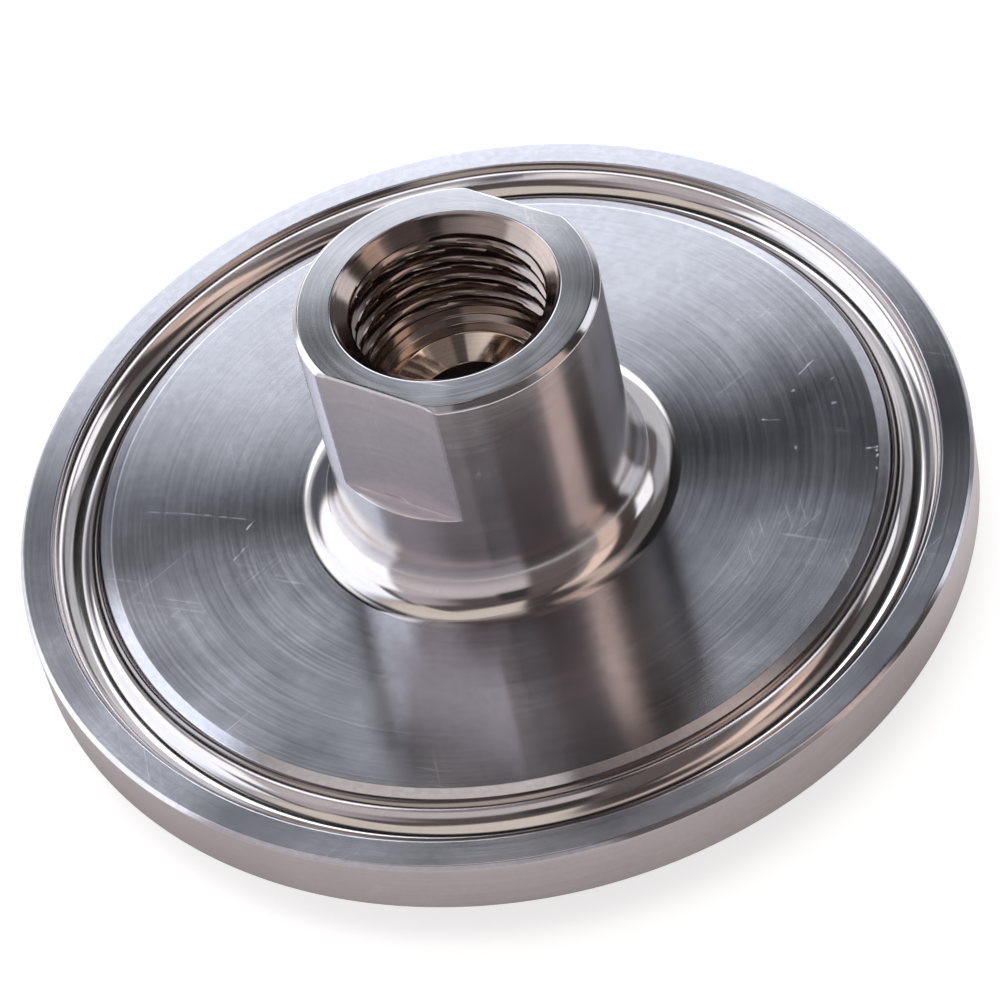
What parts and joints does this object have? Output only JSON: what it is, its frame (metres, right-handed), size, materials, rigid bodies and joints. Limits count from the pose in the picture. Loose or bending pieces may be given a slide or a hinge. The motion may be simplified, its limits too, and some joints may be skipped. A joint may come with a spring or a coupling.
{
  "type": "sanitary clamp flare adapter",
  "caption": "Round clamp disc with a gasket groove and a central hub bored for a flare fitting, with spanner flats, all turned as one piece.",
  "frame": {"origin": "centre of the flat back face", "axes": "+Z along the bore, up the hub; the spanner flats face -Y and +Y"},
  "size_m": [0.0506, 0.0504, 0.0203],
  "materials": {
    "stainless_steel": "fine-turned and polished"
  },
  "bodies": {
    "root": {"adapter_body": "stainless_steel"}
  },
  "joints": []
}
